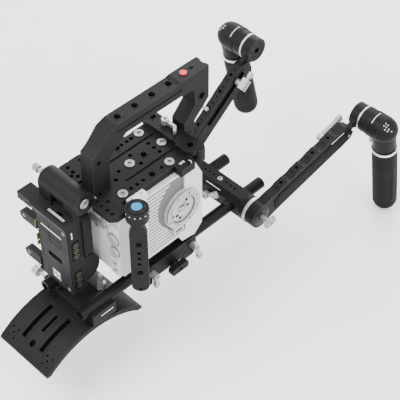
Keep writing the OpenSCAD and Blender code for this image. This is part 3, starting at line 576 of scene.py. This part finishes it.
# ------------------------------------------------------------------ battery plate
FACE, LEDGE = -100, edge("battery_plate", "z", 1)
SOCKET_X, SOCKET_Y, SOCKET_HALF = edge("battery_ports", "x", 1), middle("battery_ports", "y"), 13.6
PORT_ROWS = (edge("battery_ports", "z", 1) - SOCKET_HALF,
             edge("battery_ports", "z", 0) + SOCKET_HALF)
HINGE_X, HINGE_Y, HINGE_Z = axle("battery_swing")
bm = bmesh.new()
slab(bm, [(-21.2, 78.8), (-2.8, 78.8), (-2.8, 103.2), (-21.2, 103.2)], "xz", -98.2, FACE + 0.1)
piece("label_panel", bm, "battery", CASE)
# black strips along the plate's grooves: painted shade
bm = bmesh.new()
for groove in ([(-43.4, 121), (-44.4, 106), (-44, 90), (-40, 76), (-37.4, 66), (-36.6, 54),
                (-36.4, 42)], [(-37.6, 101.3), (-37, 94), (-34.6, 89.2), (-1.5, 86.8)]):
    strip(bm, groove, 0.9, "xz", FACE - 0.08, FACE + 0.2)
block(bm, 9.9, 10.06, -99, -98.4, 20, 110)
piece("plate_groove_shade", bm, "battery", HOLE_SHADE_AND_BLACK, bevel=0)
bm = bmesh.new()
strip(bm, [(-33.8, 97.7), (-0.2, 96.7)], 1.3, "xz", FACE - 0.15, FACE + 0.1)
for y in (-96.6, -94.9):
    block(bm, -23.3, 3, y, y + 0.6, LEDGE, LEDGE + RULE_RISE)
block(bm, 9.95, 10.12, -93.6, -92.2, 99, 109)
piece("plate_rules", bm, "battery", PALE, bevel=0)
bm = bmesh.new()
slab(bm, [(-22.6, 33.4), (-9.4, 32.6), (-9.4, 18.6), (-22.6, 19.4)], "xz", FACE - 0.12, FACE + 0.1)
piece("plate_sticker", bm, "battery", PAPER, bevel=0)
bm = bmesh.new()
for x, z, half in ((-19.6, 30.2, 1.5), (-13, 29.8, 1.9), (-19.4, 23, 1.8), (-13.4, 22.4, 1.4)):
    block(bm, x - half, x + half, FACE - 0.2, FACE, z - half, z + half)
piece("sticker_squares", bm, "battery", PALE, bevel=0)
bm = bmesh.new()
for z in PORT_ROWS:
    block(bm, SOCKET_X - 0.1, SOCKET_X + 0.15, SOCKET_Y - 5.2, SOCKET_Y + 5.2,
          z - 13.5, z + 13.5)
piece("port_faces", bm, "battery", HOLE_SHADE_AND_BLACK, bevel=0.1)
bm = bmesh.new()
for z in PORT_ROWS:
    for dz in (-8.6, 0, 8.6):
        socket = (SOCKET_X + 0.1, SOCKET_Y, z + dz)
        lathe(bm, socket, (1, 0, 0), [(2.7, 0), (2.8, 0.4), (3.2, 0.4), (3.3, 0)], 32, ring=True)
        disc(bm, socket, (1, 0, 0), 0.8, 0.35, 16)
piece("port_rings", bm, "battery", GILT, bevel=0)
bm = bmesh.new()
for z, tall in ((84, 5), (62, 5), (52, 3)):
    block(bm, -49.2, -47.9, -98, -94, z - tall, z + tall)
piece("rail_contacts", bm, "battery", OLIVE)
bm = bmesh.new()
for x, y, heights in ((4, FACE, (16, 108)), (-70, FACE + 3, (19, 81))):
    for z in heights:
        lathe(bm, (x, y + 2, z), (0, -1, 0), [(0, -8), (1.3, -8), (1.3, 0), (2.5, 0), (2.6, 1.6),
                                             (2.2, 1.9)], 32)
        lathe(bm, (x, y + 2, z), (0, -1, 0), [(2.2, 1.9), (1.5, 1.7), (1.3, 0.7), (0, 0.7)], 6)
piece("plate_screws", bm, "battery", STEEL, bevel=0, replaces=["battery_screws"])
bm = bmesh.new()
lathe(bm, (HINGE_X, HINGE_Y, HINGE_Z), (1, 0, 0), [
    (0, -54.8), (2.2, -54.8), (2.8, -54.2), (2.9, -53.2), (4.5, -53), (4.5, -45.2), (3.0, -45),
    (3.0, -39), (5.8, -38.8), (6.0, -38.2), (6.0, -32.2), (5.6, -31.5), (3.0, -31.4), (3.0, 27.1),
    (5.9, 27.1), (6.0, 30), (5.5, 30.5), (4.3, 30.5), (4.0, 30.2), (0, 30.2)], 96,
    shape=lambda a, r, h: (r - 0.35 * (r > 4.4 and h < -31) * (math.sin(24 * a) > 0), h))
block(bm, 13.1, 13.3, HINGE_Y - 3.6, HINGE_Y + 3.6, HINGE_Z - 0.7, HINGE_Z + 0.7)
piece("hinge_bolt", bm, "hinge_screw", STEEL, bevel=0, replaces=["hinge_screw"])
bm = bmesh.new()
# the rings at -28.05 and -6.25 are dark rings in the hinge barrel's gaps: painted shade; the outer
# pair are washers
for x in (-28.05, -6.25):
    lathe(bm, (x, HINGE_Y, HINGE_Z), (1, 0, 0), [(3.3, 0), (14.25, 0), (14.25, 0.3), (3.3, 0.3)],
          64, ring=True)
for x in (-47.9, 12.9):
    lathe(bm, (x, HINGE_Y, HINGE_Z), (1, 0, 0), [(7.5, -0.05), (8.2, 0.15), (12.6, 0.15),
                                                 (13.4, -0.05)], 64, ring=True)
piece("hinge_gap_shade_and_washers", bm, "battery", RIM, bevel=0)

# ------------------------------------------------------------------ rods, crossbar and base
ROD_X = edge("rods", "x", 1) - half_size("rods", "z")
ROD_ENDS = ((edge("rods", "y", 1), 1), (edge("rods", "y", 0), -1))
BAR_SCREW = (0, 149.4, 15)
BASE_X, CLAMP_X = edge("bridge_plate", "x", 1), edge("shoulder_clamp", "x", 1)
bm = bmesh.new()
for s in (-1, 1):
    for y, w in ROD_ENDS:
        lathe(bm, (s * ROD_X, y, 0), (0, w, 0), [
            (5.15, -15), (5.15, -0.6), (5.9, 0.05), (7.2, 0.05), (7.52, -0.4), (7.0, -0.6),
            (5.4, -3)], 56, ring=True)
piece("rod_ends", bm, "rods", RIM, bevel=0)
bm = bmesh.new()
lathe(bm, BAR_SCREW, (0, 0, 1), [(0, -4), (3.3, -4), (3.3, 0.2), (2.9, 0.6), (1.9, 0.6)], 36)
lathe(bm, BAR_SCREW, (0, 0, 1), [(1.9, 0.6), (1.6, -0.8), (0, -0.8)], 6)
piece("crossbar_screw", bm, "crossbar", STEEL, bevel=0)
bm = bmesh.new()
strip(bm, [(-12, 137.15), (12, 137.15)], 0.9, "xy", 11.15, 11.5)
block(bm, 5, 12, 133.85, 134.02, 2, 3)
piece("crossbar_rule", bm, "crossbar", PALE, bevel=0)
bm = bmesh.new()
lathe(bm, (BASE_X + 0.05, 43, -3), (1, 0, 0), [(4.6, 0), (4.8, 0.5), (5.8, 0.5), (6.0, 0)], 36,
      ring=True)
for y in (-2, 36):
    lathe(bm, (BASE_X - 4.98, y, -15), (1, 0, 0), [(0, 0.8), (1.2, 0.8), (1.4, 1.4), (2.1, 1.3),
                                                   (2.3, 0)], 24)
piece("base_trim", bm, "rig", RIM, bevel=0)
bm = bmesh.new()
strip(bm, [(-88.5, -8), (-70, -8)], 1.0, "yz", CLAMP_X, CLAMP_X + RULE_RISE)
piece("clamp_rule", bm, "shoulder", PALE, bevel=0)

# serrated silver rings of the arm joints
TEETH = 48


def serrated(bm, place, inner, outer, thick, axis=(1, 0, 0)):
    lathe(bm, place, axis, [(inner, 0), (outer - 0.4, 0), (outer, 0.3), (outer, thick - 0.3),
                            (outer - 0.4, thick), (inner, thick)], TEETH * 4, ring=True,
          shape=lambda a, r, h: (r - 0.22 * (r > inner + 1) * (0.5 + 0.5 * math.cos(TEETH * a)), h))


bm = bmesh.new()
for s in (-1, 1):
    serrated(bm, (s * 58.1 - 2, PIVOT.y, PIVOT.z), 5.1, 17.45, 4)
piece("crossbar_serrations", bm, "crossbar", TURNED, bevel=0,
      replaces=["crossbar_rings"])
END_HOLES, END_HOLE_R, END_CIRCLE = range(15, 360, 60), 1.5, 9
for s, side in SIDES:
    frame_here, reach = arm_frame(s), REACH[s]
    # black discs on the extension's end holes: painted shade
    bm = bmesh.new()
    for degrees in END_HOLES:
        t = math.radians(degrees)
        place = (END_FACE - 0.02, reach + END_CIRCLE * math.cos(t), END_CIRCLE * math.sin(t))
        disc(bm, place, (-1, 0, 0), END_HOLE_R, 0.1)
    piece("end_hole_shade_" + side, bm, "extension_" + side, HOLE_SHADE_AND_BLACK, frame_here, bevel=0)
    bm = bmesh.new()
    lathe(bm, (END_FACE, reach, 0), (-1, 0, 0), [(12.6, 0), (12.8, 0.3), (14.4, 0.3), (14.6, 0)],
          64, ring=True)
    piece("end_ring_" + side, bm, "extension_" + side, RIM, frame_here, bevel=0)
    bm = bmesh.new()
    serrated(bm, (ARM_THICK + 0.1, reach, 0), 4.6, 16.85, 2.6)
    piece("serrations_" + side, bm, "extension_" + side, TURNED, frame_here,
          bevel=0, replaces=["ring_" + side])

# ------------------------------------------------------------------ shoulder cushion
SHOULDER_Y, SHOULDER_Z = middle("shoulder_plate", "y"), -130  # the axis that the rest curves round
SHOULDER_R = edge("shoulder_plate", "z", 1) - SHOULDER_Z
PAD_R = (edge("shoulder_cushion", "z", 1) - SHOULDER_Z - 0.1) * MM  # stays under the plate
CLOTH_STEPS = 20


def inflated(node, cell=0.005, shrink=0.0012, cap=0.0025, pressure=4.0):
    """A stuffed copy of a plain CAD solid: remeshed, drawn in, then blown up as cloth."""
    mesh = node.data.copy()
    mesh.transform(node.matrix_world)
    mesh.materials.clear()
    obj = bpy.data.objects.new("shoulder_pad", mesh)
    bpy.context.scene.collection.objects.link(obj)
    grid = obj.modifiers.new("grid", "REMESH")
    grid.mode, grid.voxel_size = "VOXEL", cell
    bake(obj)
    mesh = obj.data
    for v, n in zip(mesh.vertices, [v.normal.copy() for v in mesh.vertices]):
        v.co -= n * shrink
    start = [v.co.copy() for v in mesh.vertices]
    cloth = obj.modifiers.new("cloth", "CLOTH")
    cloth.settings.use_pressure = True
    cloth.settings.uniform_pressure_force = pressure
    cloth.settings.effector_weights.gravity = 0
    cloth.point_cache.frame_start, cloth.point_cache.frame_end = 1, CLOTH_STEPS
    for step in range(1, CLOTH_STEPS + 1):
        bpy.context.scene.frame_set(step)
    bake(obj)
    bpy.context.scene.frame_set(1)
    mesh = obj.data
    centre = at(0, SHOULDER_Y, SHOULDER_Z)
    for v, home in zip(mesh.vertices, start):
        move = v.co - home
        if move.length > cap:
            v.co = home + move.normalized() * cap
        spoke = Vector((0, v.co.y - centre.y, v.co.z - centre.z))
        if spoke.length > PAD_R:
            spoke *= PAD_R / spoke.length
            v.co.y, v.co.z = centre.y + spoke.y, centre.z + spoke.z
    round_off = obj.modifiers.new("round", "SUBSURF")
    round_off.levels = round_off.render_levels = 1
    bake(obj)
    for face in obj.data.polygons:
        face.use_smooth = True
    return obj


def bake(obj):
    """Applies an object's modifiers to its mesh."""
    graph = bpy.context.evaluated_depsgraph_get()
    done = bpy.data.meshes.new_from_object(obj.evaluated_get(graph))
    obj.modifiers.clear()
    obj.data = done


def on_arch(y, rise):
    """A (Y, Z) point above the shoulder plate's curved top."""
    k = SHOULDER_R + rise
    a = math.asin((y - SHOULDER_Y) / SHOULDER_R)
    return SHOULDER_Y + k * math.sin(a), SHOULDER_Z + k * math.cos(a)


def ridge(bm, x, wide, y0, y1, rise=0.8):
    """A raised line that follows the plate's curve between two places."""
    row = spaced(y0, y1, 16)
    outline = [on_arch(y, rise) for y in row] + [on_arch(y, -0.3) for y in reversed(row)]
    slab(bm, outline, "yz", x - wide / 2, x + wide / 2)


SLOT_X, SLOT_HALF, SLOT_ENDS = 15.5, 4.4, (-161, -109)
SIDE_X, SIDE_RUNS = 40.6, ((-170.5, -102), (-62, -28))
bm = bmesh.new()
for s in (-1, 1):
    for x in (s * SLOT_X - SLOT_HALF, s * SLOT_X + SLOT_HALF):
        ridge(bm, x, 1.6, *SLOT_ENDS)
    for y in SLOT_ENDS:
        ridge(bm, s * SLOT_X, 10.4, y - 0.8, y + 0.8)
    for y0, y1 in SIDE_RUNS:
        ridge(bm, s * SIDE_X, 2.4, y0, y1, 0.6)
for x in (-3.6, 3.6):
    ridge(bm, x, 1.2, -144, -116)
for x in (-24, 24):
    ridge(bm, x, 0.8, -150, -112, 0.5)
piece("slot_frames", bm, "shoulder", BLACK)

cushion = inflated(nodes["shoulder_cushion"])
cushion.data.materials.clear()
cushion.data.materials.append(FOAM)
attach(cushion, "shoulder")
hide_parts("shoulder_cushion")

# ------------------------------------------------------------------ knuckles and grips
RIB_PITCH, RIB_DEPTH, RIB_HALF = 4.4, 0.55, math.radians(38)
GRIP_R, BALL_R = 16.5, 17.25
for s, side in SIDES:
    frame_here = hang_frame(s)
    long = GRIP_LENGTH[s]

    def ribbed(a, r, h, long=long):
        """Finger ribs on the rear and front; grip_shape adds the rounded side panel and the groove
        outside.
        """
        if not (40 < h < long - 16) or r < 16:
            return r, h
        facing = math.atan2(-math.sin(a), math.cos(a))
        for centre in (math.pi / 2, -math.pi / 2):
            off = abs((facing - centre + math.pi) % (2 * math.pi) - math.pi)
            if off < RIB_HALF:
                fade = min(1, (RIB_HALF - off) / 0.18)
                r -= fade * RIB_DEPTH * (0.5 + 0.5 * math.cos(2 * math.pi * h / RIB_PITCH))
        return r, h

    def grip_shape(a, r, h, ribbed=ribbed, long=long):
        r, h = ribbed(a, r, h)
        off = abs((a + math.pi) % (2 * math.pi) - math.pi)
        if 46 < h < long - 22 and r > 15.5:
            panel = math.radians(33)
            if abs(off - panel) < 0.06:
                r -= 0.5
            groove = abs(off - math.radians(18))
            if groove < 0.09 and 56 < h < long - 30:
                r -= 0.9
        return r, h

    bm = bmesh.new()
    top = long - GRIP_R
    profile = [(0, 18.8), (4.9, 18.8), (4.9, 32.4), (15.4, 32.4), (15.4, 35.9),
               (GRIP_R - 0.4, 36.2), (GRIP_R, 36.8)]
    profile += [(GRIP_R, h) for h in spaced(37.5, top, 150)]
    profile += [(GRIP_R * math.cos(t), top + GRIP_R * math.sin(t)) for t in spaced(0.1, 1.45, 12)]
    profile += [(0, long)]
    lathe(bm, (GRIP_X, 0, 0), (0, 0, -1), profile, 120, shape=grip_shape)
    piece("ribbed_grip_" + side, bm, "grip_" + side, RUBBER, frame_here, bevel=0,
          replaces=["grip_" + side])
    bm = bmesh.new()
    lathe(bm, (GRIP_X, 0, 0), (0, 0, -1), [(15.45, 32.6), (16.9, 32.6), (17.2, 33), (17.2, 35.2),
                                          (16.9, 35.7), (15.45, 35.7)], 72, ring=True)
    piece("grip_band_" + side, bm, "grip_" + side, BRIGHT, frame_here, bevel=0)
    bm = bmesh.new()
    arc = [math.radians(d) for d in spaced(66, 128, 12)]
    for a0, a1 in zip(arc, arc[1:]):
        corners = [(17.62, a0), (17.62, a1), (17.8, a1), (17.8, a0)]
        slab(bm, [(q * math.cos(t), q * math.sin(t)) for q, t in corners], "yz", 33.4, 34.2)
    for i in (0, 1, 3, 4, 5, 7, 8, 10):
        t, x = math.radians(98 + 13 * (i % 3)), 49.6 + 3.3 * (i // 3)
        ball = math.sqrt(BALL_R ** 2 - (x - GRIP_X) ** 2)
        spot = Vector((x, ball * math.cos(t), ball * math.sin(t)))
        disc(bm, spot, spot - Vector((GRIP_X, 0, 0)), 0.8, 0.12, 12)
    piece("knuckle_marks_" + side, bm, "grip_" + side, PALE, frame_here, bevel=0)
    bm = bmesh.new()
    lathe(bm, (28.4, 0, 0), (1, 0, 0), [(17.0, 0), (17.75, 0.2), (17.75, 0.7), (17.0, 0.9)], 64,
          ring=True)
    for a in (20, 140, 260):
        t = math.radians(a)
        out = (0, math.cos(t), math.sin(t))
        disc(bm, (22, 16.85 * out[1], 16.85 * out[2]), out, 1.5, 0.2)
    piece("knuckle_trim_" + side, bm, "grip_" + side, RIM, frame_here, bevel=0)

# ------------------------------------------------------------------ arms
PAD = [(24, -10.6), (150, -12.4), (165, -11), (170, -6), (170, -2), (166, 2), (146, 6.5), (34, 9),
       (24, 4)]
bm = bmesh.new()
slab(bm, PAD, "yz", 12.15, 14.1)
slab(bm, [(28, -8), (148, -9.6), (163, -8), (166, -4), (160, -1), (143, 3.6), (36, 6), (28, 2)],
     "yz", 14.0, 14.35)
piece("arm_pad", bm, "arm_right", RUBBER, arm_frame(1), bevel=0.5,
      replaces=["arm_pad_right"])
bm = bmesh.new()
STUD = 2.9
for i in range(32):
    for j in range(6):
        y, z = 31 + i * STUD, -8.0 + j * STUD + (STUD / 2 if i % 2 else 0)
        if z > 4.6 - 0.02 * y or y + 2.2 * z > 112:
            continue
        base = [bm.verts.new((14.3, y + dy, z + dz)) for dy, dz in
                ((-STUD * 0.9, 0), (0, -STUD * 0.42), (STUD * 0.9, 0), (0, STUD * 0.42))]
        tip = bm.verts.new((15.1, y, z))
        bm.faces.new(base)
        for k in range(4):
            bm.faces.new((base[k], base[(k + 1) % 4], tip))
# studs in the lighter rubber: painted highlight
piece("pad_studs", bm, "arm_right", LIT_STUD_RUBBER, arm_frame(1), bevel=0)
bm = bmesh.new()
lathe(bm, (14.0, 162, -4.6), (1, 0, 0), [(0, 0.6), (0.8, 0.6), (1.0, 1.0), (1.9, 0.95), (2.2, 0.2),
                                        (2.2, -1)], 28)
piece("pad_screw", bm, "arm_right", STEEL, arm_frame(1), bevel=0)
for s, side, z, y0 in ((1, "right", 8.6, 133), (-1, "left", 4.6, 112)):
    bm = bmesh.new()
    low, high = ARM_THICK - 0.02, ARM_THICK + RULE_RISE
    strip(bm, [(y0, z), (y0 + 22, z - 1.2)], 1.1, "yz", low, high)
    strip(bm, [(y0, z - 1), (y0 - 2, z), (y0, z + 1)], 0.7, "yz", low, high)
    piece("arm_rule_" + side, bm, "arm_" + side, PALE, arm_frame(s), bevel=0)
    bm = bmesh.new()
    lathe(bm, (ARM_THICK, 0, 0), (1, 0, 0), [(5.2, 0), (5.6, 0.35), (12.4, 0.35), (13.2, 0)], 64,
          ring=True)
    piece("pivot_washer_" + side, bm, "arm_" + side, RIM, arm_frame(s), bevel=0)

# ------------------------------------------------------------------ stage
WORLD_LIGHT, LAMP_AIM = 2.4, (0, 0.05, 0.05)
plane = bpy.data.meshes.new("floor")
span, deep = 4.0, cad_box[0][2] - 0.002  # the floor lies 2 mm under the rig
plane.from_pydata([(-span, -span, deep), (span, -span, deep), (span, span, deep),
                   (-span, span, deep)], [], [(0, 1, 2, 3)])
floor = bpy.data.objects.new("floor", plane)
bpy.context.scene.collection.objects.link(floor)
floor.data.materials.append(material("pale_floor", (0.86, 0.86, 0.86), 0.0, (0.6, 0.7), 0.01))

world = bpy.data.worlds.new("studio")
bpy.context.scene.world = world
world.use_nodes = True
world.node_tree.nodes["Background"].inputs[0].default_value = (1, 1, 1, 1)
world.node_tree.nodes["Background"].inputs[1].default_value = WORLD_LIGHT


def lamp(name, place, size, power):
    data = bpy.data.lights.new(name, "AREA")
    data.energy, data.size = power, size
    obj = bpy.data.objects.new(name, data)
    obj.location = place
    obj.rotation_euler = (Vector(LAMP_AIM) - Vector(place)).to_track_quat("-Z", "Y").to_euler()
    bpy.context.scene.collection.objects.link(obj)


lamp("key", (-0.3, -0.9, 1.5), 0.9, 36)
lamp("fill", (1.4, 0.4, 0.9), 1.0, 16)
lamp("back", (-0.9, 1.3, 0.9), 0.8, 18)

# camera: the photograph's own direction and distance
AZIMUTH, ELEVATION, SENSOR, LENS = 44.83, 45.8, 36.0, 107.55
eye = at(723.3, -613.6, 1057.4)
a, e = math.radians(AZIMUTH), math.radians(ELEVATION)
back = Vector((math.sin(a) * math.cos(e), -math.cos(a) * math.cos(e), math.sin(e)))
cam = bpy.data.cameras.new("camera")
cam.sensor_width, cam.lens = SENSOR, LENS
camera = bpy.data.objects.new("camera", cam)
camera.location = eye
camera.rotation_euler = (-back).to_track_quat("-Z", "Y").to_euler()
bpy.context.scene.collection.objects.link(camera)
bpy.context.scene.camera = camera
